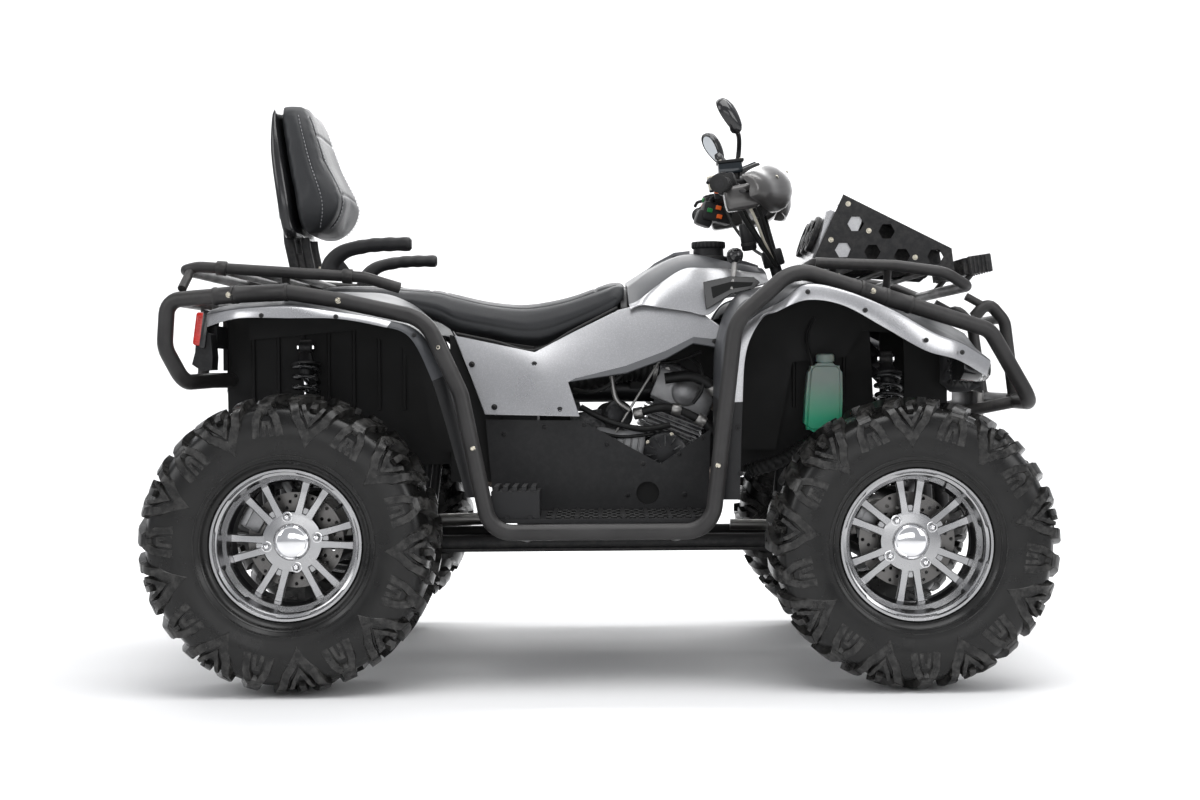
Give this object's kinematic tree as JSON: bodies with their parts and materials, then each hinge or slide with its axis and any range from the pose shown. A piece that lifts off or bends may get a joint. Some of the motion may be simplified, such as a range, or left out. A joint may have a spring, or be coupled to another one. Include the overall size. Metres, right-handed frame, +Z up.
{
  "type": "utility quad bike",
  "caption": "Four-wheeled utility quad bike with steered front wheels, racks, tube guards, a padded seat and a passenger backrest.",
  "frame": {"origin": "on the ground, in the middle of the overall length and width", "axes": "+X forward, +Y to the rider's left, +Z up"},
  "size_m": [1.961, 1.16, 1.312],
  "materials": {
    "black_metal": "satin black paint",
    "black_plastic": "moulded black plastic",
    "black_tube": "textured black powder coat",
    "bottle": "milky plastic",
    "clear_lens": "clear lens",
    "engine_metal": "cast aluminium",
    "grey_satin": "dark grey satin",
    "lamp_body": "black",
    "radiator_silver": "bare aluminium",
    "red_lens": "red lens",
    "rim_alloy": "machined alloy",
    "rubber_tyre": "black rubber",
    "seat_vinyl": "grained black vinyl",
    "silver_paint": "silver metallic paint",
    "steel": "dull steel"
  },
  "bodies": {
    "chassis": {"frame": "black_metal", "outriggers": "black_metal", "engine": "engine_metal", "exhaust": "steel", "front_fender_right": "silver_paint", "front_fender_left": "silver_paint", "rear_fender_right": "silver_paint", "rear_fender_left": "silver_paint", "tank_cover": "grey_satin", "side_panels": "silver_paint", "footwells": "black_plastic", "wheel_arch_liners": "black_plastic", "seat": "seat_vinyl", "side_guard_right": "black_tube", "side_guard_left": "black_tube", "front_bumper": "black_tube", "rear_bumper": "black_tube", "front_rack": "black_tube", "rear_rack": "black_tube", "backrest_frame": "black_metal", "backrest_shell": "black_plastic", "backrest_pad": "seat_vinyl", "passenger_handles": "black_plastic", "nose": "black_plastic", "headlights": "clear_lens", "tail_panel": "black_plastic", "tail_lights": "red_lens", "radiator_guard": "black_metal", "radiator": "radiator_silver", "light_bar": "lamp_body", "coolant_bottle": "bottle", "front_arms": "black_metal", "rear_arms": "black_metal", "front_shocks": "black_metal", "rear_shocks": "black_metal", "front_axle": "steel", "rear_axle": "steel"},
    "steering": {"handlebar": "black_metal", "hand_guards": "grey_satin", "hand_controls": "black_plastic", "mirrors": "black_plastic"},
    "knuckle_right": {"knuckle_right": "engine_metal"},
    "knuckle_left": {"knuckle_left": "engine_metal"},
    "tie_rod_right": {"tie_rod_right": "steel"},
    "tie_rod_left": {"tie_rod_left": "steel"},
    "front_wheel_right": {"tyre_front_right": "rubber_tyre", "rim_front_right": "rim_alloy"},
    "front_wheel_left": {"tyre_front_left": "rubber_tyre", "rim_front_left": "rim_alloy"},
    "rear_wheel_right": {"tyre_rear_right": "rubber_tyre", "rim_rear_right": "rim_alloy"},
    "rear_wheel_left": {"tyre_rear_left": "rubber_tyre", "rim_rear_left": "rim_alloy"}
  },
  "joints": [
    {"name": "steering", "type": "hinge", "parent": "chassis", "child": "steering", "pos_m": [0.5765, 0, 0.392], "axis": [-0.2672, 0, 0.9636], "range_deg": [-38, 38]},
    {"name": "knuckle_right", "type": "hinge", "parent": "chassis", "child": "knuckle_right", "pos_m": [0.6695, -0.388, 0.311], "axis": [0, 0, 1], "range_deg": [-31, 31]},
    {"name": "knuckle_left", "type": "hinge", "parent": "chassis", "child": "knuckle_left", "pos_m": [0.6695, 0.388, 0.311], "axis": [0, 0, 1], "range_deg": [-31, 31]},
    {"name": "tie_rod_right", "type": "hinge", "parent": "steering", "child": "tie_rod_right", "pos_m": [0.51022, -0.028, 0.36532], "axis": [-0.2672, 0, 0.9636], "range_deg": [-44, 44]},
    {"name": "tie_rod_left", "type": "hinge", "parent": "steering", "child": "tie_rod_left", "pos_m": [0.51022, 0.028, 0.36532], "axis": [-0.2672, 0, 0.9636], "range_deg": [-44, 44]},
    {"name": "front_wheel_right", "type": "hinge", "parent": "knuckle_right", "child": "front_wheel_right", "pos_m": [0.6695, -0.465, 0.311], "axis": [0, 1, 0], "continuous": true},
    {"name": "front_wheel_left", "type": "hinge", "parent": "knuckle_left", "child": "front_wheel_left", "pos_m": [0.6695, 0.465, 0.311], "axis": [0, 1, 0], "continuous": true},
    {"name": "rear_wheel_right", "type": "hinge", "parent": "chassis", "child": "rear_wheel_right", "pos_m": [-0.6605, -0.455, 0.32], "axis": [0, 1, 0], "continuous": true},
    {"name": "rear_wheel_left", "type": "hinge", "parent": "chassis", "child": "rear_wheel_left", "pos_m": [-0.6605, 0.455, 0.32], "axis": [0, 1, 0], "continuous": true}
  ],
  "couplings": [
    {"joint": "knuckle_right", "follows": "steering", "ratio": 0.8},
    {"joint": "knuckle_left", "follows": "steering", "ratio": 0.8},
    {"joint": "tie_rod_right", "follows": "steering", "ratio": -1.1433},
    {"joint": "tie_rod_left", "follows": "steering", "ratio": -1.1433}
  ]
}
